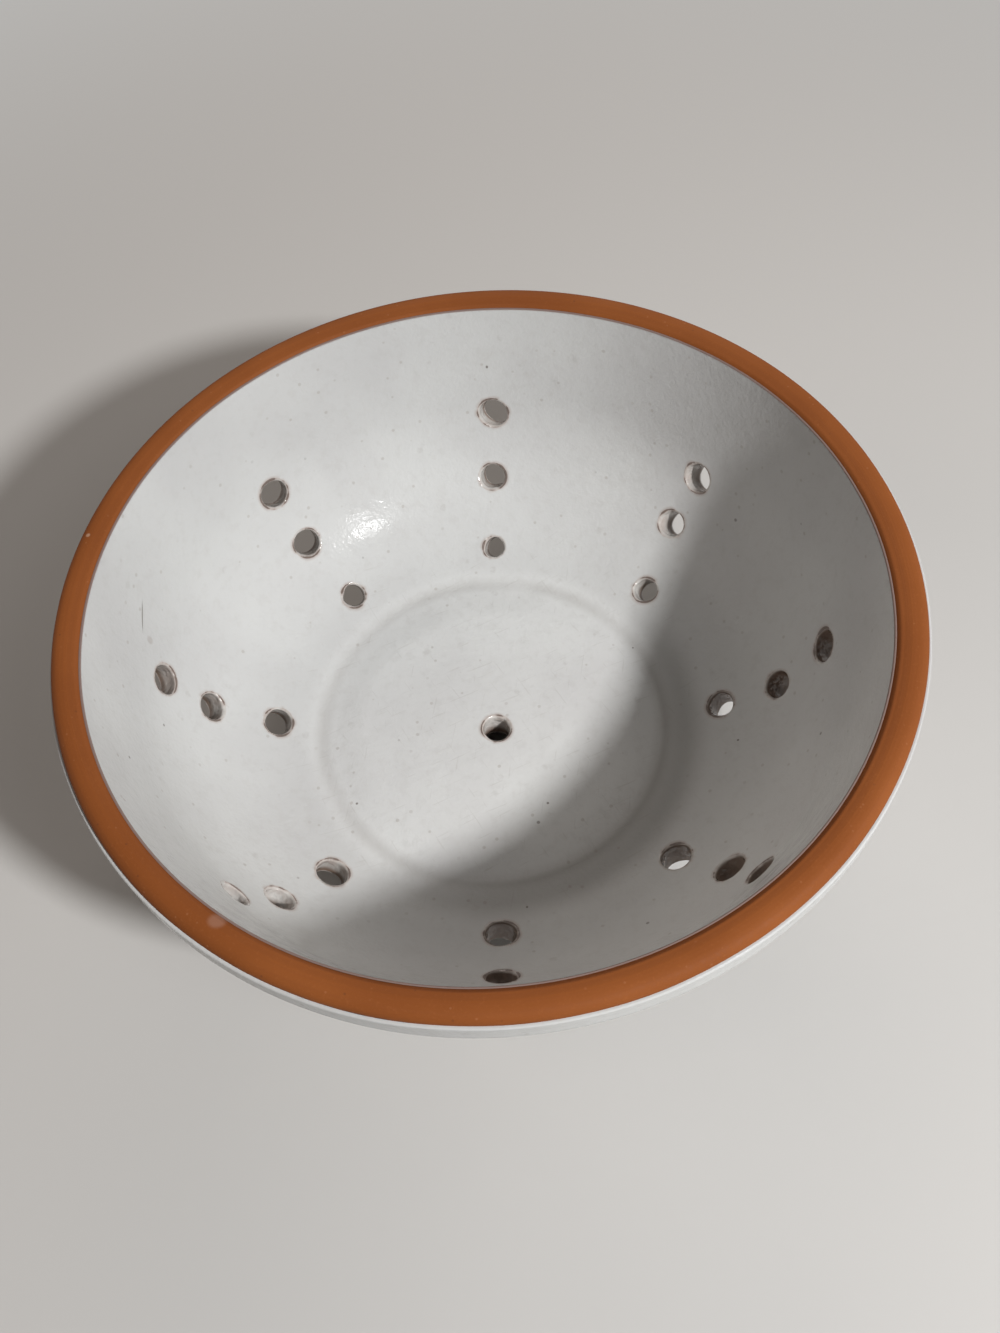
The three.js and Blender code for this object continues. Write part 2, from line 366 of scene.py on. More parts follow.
class Face:
    """A turned face laid out flat: the distance from the middle is the length along it.

    A face with no middle starts some way out. The span gives the radii where holes may meet it.
    """

    def __init__(self, profile, start=0.0, side=1, shape=None, span=ANY_R):
        self.profile = profile
        self.start = start
        self.side = side
        self.shape = shape
        keep = (profile.r >= span[0]) & (profile.r <= span[1])
        self.span = profile.r[keep], profile.z[keep], profile.s[keep]

    def point(self, flat):
        """Points in space for points of the flat face."""
        rho = np.hypot(flat[:, 0], flat[:, 1])
        phi = np.arctan2(flat[:, 1], flat[:, 0])
        if self.shape:
            return self.shape(self.profile, rho - self.start, phi)
        r, z = self.profile.at(rho - self.start)
        return np.stack([r * np.cos(phi), r * np.sin(phi), z], 1)

    def normal(self, flat):
        across = self.point(flat + (NUDGE, 0)) - self.point(flat - (NUDGE, 0))
        along = self.point(flat + (0, NUDGE)) - self.point(flat - (0, NUDGE))
        return unit(np.cross(across, along) * self.side)

    def circle(self, s, count=ROUND):
        turn = turns(count)
        return (self.start + s) * np.stack([np.cos(turn), np.sin(turn)], 1)

    def meet(self, starts, axis):
        """Flat places where lines along an axis meet the face."""
        r_line, z_line, s_line = self.span
        near = np.full(len(starts), -PUNCH_REACH)
        far = np.full(len(starts), PUNCH_REACH)
        for _ in range(HALVINGS):
            middle = (near + far) / 2
            p = starts + middle[:, None] * axis
            above = p[:, 2] > np.interp(np.hypot(p[:, 0], p[:, 1]), r_line, z_line)
            near = np.where(above, middle, near)
            far = np.where(above, far, middle)
        p = starts + near[:, None] * axis
        r = np.hypot(p[:, 0], p[:, 1])
        s = np.interp(r, r_line, s_line) + self.start
        return p[:, :2] * (s / np.maximum(r, TINY))[:, None]


def inside_shape(profile, s, phi):
    """The inside: a low plateau in the floor with a groove round it, and soft throwing rings."""
    top = smooth(s, profile.length - INSIDE_EDGE_FADE, profile.length)
    r, z = profile.at(s + top * waves(phi, INSIDE_EDGE_WAVES))
    x, y = r * np.cos(phi), r * np.sin(phi)
    near = np.hypot(x - PLATEAU[0], y - PLATEAU[1]) - PLATEAU[2]
    far = np.hypot(x - GROOVE[0], y - GROOVE[1]) - GROOVE[2]
    left = GROOVE_SOFT * np.log1p(np.exp(-np.clip(far, -GROOVE_FAR, GROOVE_FAR) / GROOVE_SOFT))
    between = np.where(near <= 0, 0, near / np.maximum(near + left, TINY))
    base = profile.z[0] + disc_z - floor_z
    z = z + (base - z) * (1 - between**DISC_CROWN)
    z = z - GROOVE_DEPTH * np.exp(-0.5 * (far / GROOVE_SPREAD) ** 2)
    fade = smooth(s, *INSIDE_RINGS_BEGIN) * (1 - top)
    ring = np.sin(FULL_TURN * s / INSIDE_PITCH + waves(phi, INSIDE_RING_SWAY))
    return np.stack([x, y, z + INSIDE_RING * fade * ring], 1)


def outside_shape(profile, s, phi):
    """The outside: the glaze was dipped, so its two edges wander a little."""
    top = smooth(s, profile.length - OUTSIDE_EDGE_FADE, profile.length)
    low = 1 - smooth(s, 0, FOOT_EDGE_FADE)
    r, z = profile.at(s)
    z = z + top * waves(phi, OUTSIDE_EDGE_WAVES) + low * waves(phi, FOOT_EDGE_WAVES)
    ring = 1 + np.sin(FULL_TURN * s / OUTSIDE_PITCH + np.sin(phi + OUTSIDE_RING_PHASE))
    r = r - OUTSIDE_RING * (1 - top) * (1 - low) * ring
    return np.stack([r * np.cos(phi), r * np.sin(phi), z], 1)


crest_r = rim_r + RIM_BEVEL
round_r = crest_r + RIM_CREST
rim_arc = [(crest_r, HEIGHT)] + [
    (round_r + (clay_r - round_r) * math.sin(t), HEIGHT - RIM_ROUND * (1 - math.cos(t)))
    for t in np.linspace(0, math.pi / 2, RIM_POINTS)
]
foot_in_r = FOOT_R - FOOT_WIDTH
under_line = [
    (0.0, FOOT_RECESS),
    (foot_in_r - FOOT_DRAFT - FOOT_FILLET, FOOT_RECESS),
    (foot_in_r - FOOT_DRAFT, FOOT_RECESS - FOOT_FILLET),
    (foot_in_r, FOOT_BEVEL),
    (foot_in_r + FOOT_BEVEL, 0.0),
    (foot_side(0) - CLAY_DEPTH - FOOT_BEVEL, 0.0),
    (foot_side(FOOT_BEVEL) - CLAY_DEPTH, FOOT_BEVEL),
]
inside = Face(Profile(inside_line(0, 0)), shape=inside_shape)
outside = Face(Profile(outside_line(0), OUTSIDE_SOFT), OUTSIDE_START, -1, outside_shape,
               span=(PUNCHED_FROM, OUTSIDE_PUNCHED_TO))
clay_inside = Face(Profile(inside_line(CLAY_DEPTH, INSIDE_SEAT)), shape=inside_shape)
clay_outside = Face(Profile(outside_line(CLAY_DEPTH), CLAY_SOFT), OUTSIDE_START, -1,
                    span=(PUNCHED_FROM, CLAY_PUNCHED_TO))
underside = Face(Profile(under_line, UNDER_SOFT), side=-1, span=UNDER_PUNCHED)
rim_line = Profile([rim_point(INSIDE_SEAT)] + rim_arc + [(clay_r, line_z - RIM_OVERLAP)], RIM_SOFT)


# Drain holes
class Hole:
    """A punched hole: a mark on the inside face, an axis, and the bore its glaze leaves."""

    def __init__(self, name, point, axis, bore, bare):
        self.name = name
        self.bore = bore
        self.mouth = bore + LIP
        # How much painted shade darkens this hole's sleeve
        self.bare = bare
        self.point = np.array(point)
        self.axis = np.array(axis)
        up = UP if abs(axis[2]) < UPRIGHT else np.array((0.0, 1.0, 0.0))
        u = up - self.axis * up.dot(self.axis)
        self.u = u / np.linalg.norm(u)
        self.v = np.cross(self.axis, self.u)

    def spokes(self, count=MOUTH):
        turn = turns(count)[:, None]
        return np.cos(turn) * self.u + np.sin(turn) * self.v

    def ring(self, face, radius, count=MOUTH):
        """Flat places of a ring round the hole on a face."""
        radius = np.broadcast_to(radius, count)[:, None]
        return face.meet(self.point + radius * self.spokes(count), self.axis)

    def off(self, points):
        """Distance of points from the axis, and along it from the mark."""
        away = points - self.point
        along = away @ self.axis
        return np.linalg.norm(away - along[:, None] * self.axis, axis=1), along


def wall_hole(ring, column):
    """One hole of a ring, where its punch was set and the way it was pointed."""
    azimuth = math.radians(column * 360 / COLUMNS + ring["drift"][column])
    turn = math.radians(ring["slope"])
    climb = ring["climb"][column]
    r, z = on_arc(arc_r, turn)
    r += climb * math.cos(turn)
    z += climb * math.sin(turn)
    tilt = math.radians(ring["tilt"])
    heading = azimuth - math.radians(ring["swing"])
    level = math.sin(tilt)
    axis = Vector((level * math.cos(heading), level * math.sin(heading), -math.cos(tilt)))
    axis.rotate(Matrix.Rotation(math.radians(ring["lean"]), 3, "X"))
    point = (r * math.cos(azimuth), r * math.sin(azimuth), z)
    bore = BORE_R + ring["wider"][column]
    return Hole(f"{ring['name']}_{column + 1}", point, tuple(axis), bore, ring["bare"][column])


wall_holes = [wall_hole(ring, column) for ring in RINGS for column in range(COLUMNS)]
centre_hole = Hole("centre", (*CENTRE_SHIFT, disc_z), (0.0, 0.0, -1.0), BORE_R, 0.0)
all_holes = wall_holes + [centre_hole]


def askew(points):
    """The line where the inside glaze ends is a little wider than the CAD circle, and off centre."""
    r = np.hypot(points[:, 0], points[:, 1])
    phi = np.arctan2(points[:, 1], points[:, 0])
    out = LINE_GROWS + LINE_SHIFTS * np.cos(phi - LINE_SHIFT_TURN)
    out = out * smooth(points[:, 2], *LINE_HEIGHTS) * (1 - smooth(r, *LINE_RADII))
    moved = points.copy()
    moved[:, 0] += out * np.cos(phi)
    moved[:, 1] += out * np.sin(phi)
    return moved


# Meshes
# Marks that the materials read: thin glaze, a line (the glaze's stained edge, and on the clay the painted
# shade of the rim's bevel), and painted shade deep in the sleeves
MARKS = ("thin", "line", "deep")


class Shell:
    """Points, normals and faces of one piece, and the marks that its material reads."""

    def __init__(self):
        self.points = []
        self.normals = []
        self.marks = {mark: [] for mark in MARKS}
        self.faces = []
        self.count = 0

    def add(self, points, normals, **marks):
        """Points with their normals and marks; their numbers in the piece come back."""
        index = np.arange(self.count, self.count + len(points))
        self.points.append(points)
        self.normals.append(normals)
        for mark in MARKS:
            value = np.asarray(marks.get(mark, 0.0), float)
            self.marks[mark].append(np.broadcast_to(value, len(points)))
        self.count += len(points)
        return index

    def strip(self, a, b):
        """A closed band of faces between two rings of points."""
        a2, b2 = np.roll(a, -1), np.roll(b, -1)
        self.faces += np.stack([a, a2, b2, b], 1).tolist()

    def strips(self, rings):
        for a, b in zip(rings, rings[1:]):
            self.strip(a, b)

    def triangles(self, triangles, index):
        self.faces += index[triangles].tolist()

    def build(self, name, material, slot, *nodes):
        points = askew(np.concatenate(self.points))
        points[:, :2] *= INSIDE_FACETS
        mesh = bpy.data.meshes.new(name)
        mesh.from_pydata((points * MM).tolist(), [], self.faces)
        bm = bmesh.new()
        bm.from_mesh(mesh)
        bmesh.ops.recalc_face_normals(bm, faces=bm.faces)
        bm.to_mesh(mesh)
        bm.free()
        mesh.polygons.foreach_set("use_smooth", np.ones(len(mesh.polygons), bool))
        for mark in MARKS:
            values = mesh.attributes.new(mark, "FLOAT", "POINT")
            values.data.foreach_set("value", np.concatenate(self.marks[mark]).astype(np.float32))
        mesh.normals_split_custom_set_from_vertices(np.concatenate(self.normals).tolist())
        mesh.materials.append(material)
        piece = bpy.data.objects.new(name, mesh)
        bpy.context.scene.collection.objects.link(piece)
        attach(piece, "root")
        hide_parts(*nodes)


def lay_out(face, lengths, spacing, holes, rings=()):
    """Triangles over a flat face with holes: flat points, triangles, and the loops' indices.

    The loops are the outer edge, the inner edge where the face has one, and the holes' mouths.
    Rings of points round each mouth, where asked for, make the mesh finer there.
    """
    loops = [face.circle(lengths[-1])]
    grid = []
    if face.start:
        loops.append(face.circle(lengths[0]))
    else:
        grid.append(np.zeros((1, 2)))
    loops += [hole.ring(face, hole.mouth) for hole in holes]
    for s in lengths[1:-1]:
        count = int(FULL_TURN * face.profile.at(s)[0] / spacing)
        grid.append(face.circle(s, max(LEAST_ROUND, min(ROUND, count))))
    grid = np.concatenate(grid)
    grid_points = face.point(grid)
    clear = rings[-1] + RING_GAP if rings else HOLE_GAP
    keep = np.ones(len(grid), bool)
    for hole in holes:
        off, along = hole.off(grid_points)
        keep &= (off > hole.mouth + clear) | (np.abs(along) > NEAR_SIDE)
    parts = loops + [grid[keep]]
    parts += [hole.ring(face, hole.mouth + wide, HALO_POINTS) for hole in holes for wide in rings]
    flat = np.concatenate(parts)
    edges = []
    indices = []
    owner = np.full(len(flat), -1)
    first = 0
    for number, loop in enumerate(loops):
        index = np.arange(first, first + len(loop))
        indices.append(index)
        edges += np.stack([index, np.roll(index, -1)], 1).tolist()
        if number > 0:
            owner[index] = number
        first += len(loop)
    faces, sources = delaunay_2d_cdt([Vector(p) for p in flat], edges, [], 0, MERGE)[2:4]
    back = np.array([source[0] for source in sources])
    triangles = back[np.array(faces)]
    same = owner[triangles]
    in_hole = (same[:, 0] >= 0) & (same[:, 0] == same[:, 1]) & (same[:, 1] == same[:, 2])
    return flat, triangles[~in_hole], indices


def coat(name, face, lengths, holes, edge, seat, stain, material, cad_node):
    """A closed skin of glaze with rounded edges, cut through at the drain holes."""
    flat, triangles, loops = lay_out(face, lengths, COAT_SPACING, holes, LIP_RINGS)
    low, top = lengths[0], lengths[-1]
    points = face.point(flat)
    normals = face.normal(flat)
    s = np.hypot(flat[:, 0], flat[:, 1]) - face.start
    line = stain * EDGE_STAIN * smooth(s, top - EDGE_STAIN_WIDTH, top)
    thin = np.zeros(len(flat))
    ends = [(loops[0], top, 1, seat)]
    if face.start:
        thin = FOOT_WEAR * (1 - smooth(s, low, low + FOOT_WEAR_WIDTH))
        ends.append((loops[1], low, -1, CLAY_DEPTH))
    for hole in holes:
        off, along = hole.off(points)
        halo = HALO * (1 - smooth(off, hole.mouth, hole.mouth + HALO_WIDTH))
        thin = np.where(np.abs(along) < NEAR_SIDE, np.maximum(thin, halo), thin)
    shell = Shell()
    front = shell.add(points, normals, thin=thin, line=line)
    depth = np.interp(s, (top - TAPER, top), (COAT_BACK, seat - BACK_CLEAR))
    sunk = points - normals * depth[:, None]
    mouths = loops[len(ends):]
    for hole, loop in zip(holes, mouths):
        sunk[loop] = points[loop] + hole.axis * COAT_BACK * face.side
    back = shell.add(sunk, -normals)
    shell.triangles(triangles, front)
    shell.triangles(triangles[:, ::-1], back)
    for loop in mouths:
        shell.strip(front[loop], back[loop])
    for loop, length, way, foot_depth in ends:
        start = face.circle(length)
        out = unit(start) * way * NUDGE
        travel = unit(face.point(start + out) - face.point(start - out))
        rings = [front[loop]]
        for turn in EDGE_TURNS:
            sunk_by = normals[loop] * edge * (1 - math.cos(turn))
            round_points = points[loop] + travel * edge * math.sin(turn) - sunk_by
            round_normals = normals[loop] * math.cos(turn) + travel * math.sin(turn)
            stained = stain * (EDGE_STAIN + (1 - EDGE_STAIN) * math.sin(turn))
            rings.append(shell.add(round_points, round_normals, line=stained))
        foot = points[loop] + travel * edge - normals[loop] * (foot_depth + EDGE_SINK)
        rings.append(shell.add(foot, travel, line=stain))
        shell.strips(rings + [back[loop]])
    shell.build(name, material, "white_glaze", cad_node)


def lining(hole, seed, outer, outer_lip, material):
    """Glaze that ran through a drain hole: a sleeve with a soft lip at each mouth."""
    shell = Shell()
    spokes = hole.spokes()
    turn = turns(MOUTH)
    uneven = waves(turn, [(height, count, phase * seed) for height, count, phase in SLEEVE_WAVES])
    if seed % RUN_EVERY < RUN_BELOW:
        from_run = np.angle(np.exp(1j * (turn - RUN_TURN * seed)))
        uneven += RUN_HEIGHT * np.exp(-((from_run / RUN_WIDTH) ** 2))
    bore = hole.bore - SLEEVE_COAT - uneven
    mouths = []
    bore_ends = []
    for face, lip, way in ((inside, LIP, 1), (outer, outer_lip, -1)):
        mouth = []
        for t in LIP_TURNS:
            radius = hole.mouth - (hole.mouth - bore) * math.sin(t)
            flat = hole.ring(face, radius)
            points = face.point(flat) + way * hole.axis * lip * (1 - math.cos(t))
            normals = face.normal(flat) * math.cos(t) - spokes * math.sin(t)
            thin = LIP_WEAR + BREAK_WEAR * math.exp(-(((t - BREAK_TURN) / BREAK_WIDTH) ** 2))
            # Painted shade over the lip's turn, for holes on the shaded side
            mouth.append(shell.add(points, normals, thin=thin, deep=hole.bare * math.sin(t) ** 2))
        mouths.append(mouth)
        bore_ends.append(points)
    start, end = bore_ends
    rings = mouths[0]
    for share in np.linspace(0, 1, SLEEVE_RINGS + 2)[1:-1]:
        sway = np.sin(turn * SWELL_COUNT + SWELL_TWIST * share + seed)
        swell = SWELL * np.sin(math.pi * share) * sway
        points = start + (end - start) * share + swell[:, None] * spokes
        # Painted shade: the lower bore is darkened, and all of a shaded hole's bore
        deep = np.maximum(hole.bare, smooth(share, *BORE_DARKENS))
        rings.append(shell.add(points, -spokes, thin=BORE_WEAR * (1 - share), deep=deep))
    rings += mouths[1][::-1]
    for face, way in ((outer, -1), (inside, 1)):
        flat = hole.ring(face, hole.mouth - SLEEVE_BACK_INSET)
        rings.append(shell.add(face.point(flat) + way * hole.axis * SLEEVE_BACK_DEPTH, spokes))
    shell.strips(rings + rings[:1])
    shell.build(f"sleeve_{hole.name}", material, "white_glaze", f"drain_lining_{hole.name}")


def turned(shell, profile, lengths, first, last):
    """Rings turned from a profile, between a first and a last ring that are there already.

    On the rim's bevel the normals lean up, and at its inner edge in, which softens the corners; the bevel
    is also marked for the painted shade that the clay's material lays on it.
    """
    turn = turns(ROUND)
    around = np.stack([np.cos(turn), np.sin(turn), np.zeros(ROUND)], 1)
    rings = [first]
    for s in lengths:
        r, z = profile.at(s)
        r0, z0 = profile.at(s - SLOPE_STEP)
        r1, z1 = profile.at(s + SLOPE_STEP)
        size = math.hypot(r1 - r0, z1 - z0)
        normals = around * ((z0 - z1) / size) + UP * ((r1 - r0) / size)
        bevel = 0.0
        if z > rim_z - BEVEL_DEPTH:
            bevel = 1 - smooth(r, crest_r + BEVEL_SPAN[0], crest_r + BEVEL_SPAN[1])
        tuck = bevel * (1 - smooth(s, *TUCK_SPAN))
        normals = unit(normals + bevel * UP - tuck * TUCK * around)
        rings.append(shell.add(around * r + UP * z, normals, line=bevel))
    shell.strips(rings + [last])


def clay(material):
    """The thrown body: hidden faces under the glaze, and the unglazed rim, foot and underside."""
    shell = Shell()
    parts = (
        (clay_inside, spread(0, clay_inside.profile.length, HIDDEN_STEP), HIDDEN_SPACING, all_holes),
        (clay_outside, spread(0, clay_outside.profile.length, HIDDEN_STEP), HIDDEN_SPACING, wall_holes),
        (underside, spread(0, UNDER_REACH, UNDER_STEP), UNDER_SPACING, [centre_hole]),
    )
    mouths = {}
    edges = {}
    for face, lengths, spacing, through in parts:
        flat, triangles, loops = lay_out(face, lengths, spacing, through)
        index = shell.add(face.point(flat), face.normal(flat))
        shell.triangles(triangles if face.side > 0 else triangles[:, ::-1], index)
        own_edges = 2 if face.start else 1
        edges[face] = [index[loop] for loop in loops[:own_edges]]
        for hole, loop in zip(through, loops[own_edges:]):
            if hole in mouths:
                shell.strip(mouths[hole], index[loop])
            else:
                mouths[hole] = index[loop]
    rim_lengths = spread(RIM_START, rim_line.length - RIM_STEP, RIM_STEP)
    turned(shell, rim_line, rim_lengths, edges[clay_inside][0], edges[clay_outside][0])
    foot_line = Profile(under_line + [(foot_side(FOOT_LINE) - CLAY_DEPTH, FOOT_LINE)], UNDER_SOFT)
    reverse = Profile(np.stack([foot_line.r, foot_line.z], 1)[::-1])
    foot_lengths = spread(FOOT_START, reverse.length - UNDER_REACH - UNDER_GAP, FOOT_STEP)
    turned(shell, reverse, foot_lengths, edges[clay_outside][1], edges[underside][0])
    shell.build("clay_bowl", material, "bare_clay", "clay_body")


# Building blocks of the materials, and the octaves of their noise
PLAIN_NOISE = 1.0
SOFT_NOISE = 2.0
RICH_NOISE = 3.0


def new_material(name):
    material = bpy.data.materials.new(name)
    material.use_nodes = True
    tree = material.node_tree
    return material, tree, tree.nodes["Principled BSDF"]


def fill(tree, socket, value):
    """A link into a socket, or a plain value on it. Colours are given as red, green and blue."""
    if isinstance(value, bpy.types.NodeSocket):
        tree.links.new(value, socket)
    elif socket.type == "RGBA":
        socket.default_value = (*value, 1.0)
    else:
        socket.default_value = value


def node(tree, kind, inputs=None, **settings):
    made = tree.nodes.new(kind)
    for key, value in settings.items():
        setattr(made, key, value)
    for key, value in (inputs or {}).items():
        fill(tree, made.inputs[key], value)
    return made


def noise(tree, vector, scale, detail=SOFT_NOISE, rough=0.5):
    inputs = {"Vector": vector, "Scale": scale, "Detail": detail, "Roughness": rough}
    return node(tree, "ShaderNodeTexNoise", inputs).outputs["Fac"]


def remap(tree, value, span, most=1.0, least=0.0):
    """A soft step from the least share to the most, as a value crosses a span."""
    inputs = {"Value": value, "From Min": span[0], "From Max": span[1], "To Min": least, "To Max": most}
    return node(tree, "ShaderNodeMapRange", inputs, interpolation_type="SMOOTHSTEP").outputs["Result"]


def blend(tree, share, a, b):
    """A mix of two colours. The mix node's colour sockets are its seventh and eighth."""
    inputs = {0: share, 6: a, 7: b}
    return node(tree, "ShaderNodeMix", inputs, data_type="RGBA", blend_type="MIX").outputs[2]


def maths(tree, operation, a, b=0.0):
    return node(tree, "ShaderNodeMath", {0: a, 1: b}, operation=operation).outputs[0]


def times(tree, a, b):
    return maths(tree, "MULTIPLY", a, b)


def far_off(tree, vector):
    return node(tree, "ShaderNodeVectorMath", {0: vector}, operation="LENGTH").outputs["Value"]


def place(tree):
    return node(tree, "ShaderNodeTexCoord").outputs["Object"]


def axes_of(tree, vector):
    return node(tree, "ShaderNodeSeparateXYZ", {"Vector": vector}).outputs


def attribute(tree, name):
    return node(tree, "ShaderNodeAttribute", attribute_name=name).outputs["Fac"]


def mapped(tree, vector, location=(0, 0, 0), rotation=(0, 0, 0), scale=(1, 1, 1)):
    """Coordinates read in a frame that has its own place, turn in radians and size."""
    inputs = {"Vector": vector, "Location": location, "Rotation": rotation, "Scale": scale}
    return node(tree, "ShaderNodeMapping", inputs, vector_type="TEXTURE").outputs[0]


def relief(tree, height, strength, distance, normal=None):
    inputs = {"Height": height, "Strength": strength, "Distance": distance}
    if normal is not None:
        inputs["Normal"] = normal
    return node(tree, "ShaderNodeBump", inputs).outputs["Normal"]


# Shapes of the marks: a speck's full middle, the chosen specks that show in full, a spot's soft edge,
# how hairs are drawn out, and the scale that flattens height away round a ring
SPECK_CORE = 0.55
SPECK_FULL = 0.4
SPOT_SPAN = (1.0, 0.45)
HAIR_SCALE = (1 / 110, 1 / 1700, 1 / 110)
FLATTEN = 1e6


def specks(tree, vector, scale, radius, chosen):
    """Round specks of one size class; chosen is the share of them that show."""
    cells = node(tree, "ShaderNodeTexVoronoi", {"Vector": vector, "Scale": scale})
    dot = remap(tree, cells.outputs["Distance"], (radius, radius * SPECK_CORE))
    colour = node(tree, "ShaderNodeSeparateColor", {"Color": cells.outputs["Color"]})
    pick = remap(tree, colour.outputs["Red"], (1 - chosen, 1 - chosen * SPECK_FULL))
    return times(tree, dot, pick)


def spot(tree, vector, centre, radii, turn_x):
    """A soft mark: one inside, nought outside an ellipsoid of three radii, in millimetres."""
    location = [c * MM for c in centre]
    scale = [r * MM for r in radii]
    local = mapped(tree, vector, location, (math.radians(turn_x), 0, 0), scale)
    return remap(tree, far_off(tree, local), SPOT_SPAN)


def drawn(tree, vector, turn):
    """Coordinates drawn out into long thin hairs along one way of the floor."""
    return mapped(tree, vector, rotation=(0, 0, math.radians(turn)), scale=HAIR_SCALE)


def ring_gap(tree, vector, ring):
    """How far outside a ring, in plan, the ring given by its centre and radius in millimetres."""
    x, y, radius = ring
    local = mapped(tree, vector, (x * MM, y * MM, 0), scale=(1, 1, FLATTEN))
    return maths(tree, "SUBTRACT", far_off(tree, local), radius * MM)


def seen_marks(tree, vector, colour, marks):
    """Marks at their own places, each laid over the colour so far."""
    for centre, radii, turn_x, share, tone in marks:
        mark = spot(tree, vector, centre, radii, turn_x)
        colour = blend(tree, times(tree, mark, share), colour, tone)
    return colour


def speckled(tree, vector, colour, kinds):
    """Kinds of specks (scale, radius, share chosen), each with its strength and tone."""
    for kind, share, tone in kinds:
        colour = blend(tree, times(tree, specks(tree, vector, *kind), share), colour, tone)
    return colour


# Glaze: a tint has a span, in metres or in its noise's own range, the most it shows and, if not
# nought, the least
MIDDLE = (0.3, 0.7)
BROAD_SCALE = 24.0
# Painted shade: the glaze greyer beyond the groove and up the wall
SHADOW_GREY = (0.05, 0.05, 0.05)
SHADE_BEYOND_GROOVE = ((0.0, 0.007), 0.14)
SHADE_UP_THE_WALL = ((0.025, 0.06), 0.08)
CLOUD_SCALE = 480.0
CLOUDS = ((0.55, 0.8), 0.10)
CLOUD_GREY = (0.44, 0.41, 0.37)

# Hairs in the floor's glaze: heading in degrees and the noise's threshold
HAIRS = ((24.0, 0.66), (-58.0, 0.68), (81.0, 0.69))
HAIR_EDGE = 0.06
HAIR_HEIGHTS = ((0.024, 0.016), 0.18)
HAIR_GREY = (0.34, 0.32, 0.29)

# Painted shade: darker in the groove, broken into patches, and darker beyond it on the near right side,
# where the rim's shadow falls
SHADE_SIDE_WAY = (0.766, -0.643, 0)
SHADE_SIDE = ((0.005, 0.035), 0.36)
SHADE_STARTS = (-0.0012, 0.0008)
SHADE_ENDS = (0.014, 0.005)
SHADE_BROWN = (0.09, 0.075, 0.06)
GROOVE_SHADE_REACH = (0.0034, 0.0)
GROOVE_SCALE = 45.0
GROOVE_SHADE_PATCHES = ((0.35, 0.6), 0.27, 0.15)
GROOVE_SHADE_GREY = (0.22, 0.20, 0.18)

# Mottle, pits and iron specks
MOTTLE_SCALE = 330.0
MOTTLE_ROUGH = 0.6
MOTTLE = ((0.48, 0.72), 0.12)
MOTTLE_GREY = (0.36, 0.34, 0.32)
PITS = (150.0, 0.20, 0.45)
PITTED = (0.40, 0.60)
PIT_SHARE = 0.2
PIT_GREY = (0.34, 0.32, 0.30)
GLAZE_SPECKS = (
    ((230.0, 0.14, 0.8), 0.28, (0.24, 0.19, 0.15)),
    ((85.0, 0.05, 0.5), 0.55, (0.08, 0.06, 0.045)),
)

# Marks seen on the glaze: centre and radii in millimetres, turn about X in degrees, share and tone
SPECK = (0.0, 0.75, (0.10, 0.08, 0.065))
GLAZE_MARKS = (
    ((-38.5, -22.6, 14.3), (0.45, 0.45, 2.0), *SPECK),
    ((12.4, -25.2, 15.3), (0.45, 0.45, 2.0), *SPECK),
    ((38.6, 22.7, 14.4), (0.35, 0.35, 2.0), *SPECK),
    ((6.0, -53.9, 15.9), (0.4, 0.4, 2.0), *SPECK),
    ((63.3, -12.0, 20.7), (0.4, 0.4, 2.0), *SPECK),
    ((1.1, 88.3, 61.5), (0.45, 2.0, 0.6), *SPECK),
    ((-86.9, 10.7, 58.9), (2.0, 5.0, 0.32), 25.6, 0.75, (0.15, 0.135, 0.12)),
    ((-86.2, 6.8, 53.8), (2.0, 1.3, 1.7), 0.0, 0.35, (0.28, 0.23, 0.20)),
)

# Worn glaze at the lips of the holes, painted shade in the bores, and the stained line under the rim
WORN_SCALE = 210.0
WORN_PATCHES = ((0.35, 0.65), 1.45, 0.2)
WORN_STAGES = (
    ((0.10, 0.75), 0.5, (0.36, 0.285, 0.25)),
    ((0.70, 1.20), 0.85, (0.11, 0.075, 0.06)),
)
DEEP_SHADE = ((0.0, 1.0), 0.9)
STAINED = ((0.15, 0.6), 0.8)
STAIN_BROWN = (0.13, 0.055, 0.035)

# Gloss and relief: scale of the noise, then for relief its strength and its height in metres
GLOSS_SCALE = 240.0
LUMP_HEIGHT = 0.0010
GLAZE_GRAIN_SCALE = 950.0
GLAZE_GRAIN = (0.28, 0.0003)
WHITE_LOOK = dict(light=(0.632, 0.635, 0.625), shade=(0.575, 0.573, 0.567), deep=(0.15, 0.11, 0.085),
                  gloss=(0.12, 0.22), shine=0.045, lump_scale=130.0, lumpy=0.2)
RAN_LOOK = dict(light=(0.60, 0.585, 0.56), shade=(0.54, 0.51, 0.48), deep=(0.13, 0.078, 0.05),
                gloss=(0.07, 0.16), shine=0.5, lump_scale=420.0, lumpy=0.55)


def wall_tones(tree, vector, colour):
    """Painted shade, a little greyer beyond the groove and up the wall; and faint clouds."""
    beyond = remap(tree, ring_gap(tree, vector, GROOVE), *SHADE_BEYOND_GROOVE)
    steep = remap(tree, axes_of(tree, vector)["Z"], *SHADE_UP_THE_WALL)
    clouds = remap(tree, noise(tree, vector, CLOUD_SCALE, RICH_NOISE), *CLOUDS)
    colour = blend(tree, beyond, colour, SHADOW_GREY)
    colour = blend(tree, steep, colour, SHADOW_GREY)
    return blend(tree, clouds, colour, CLOUD_GREY)


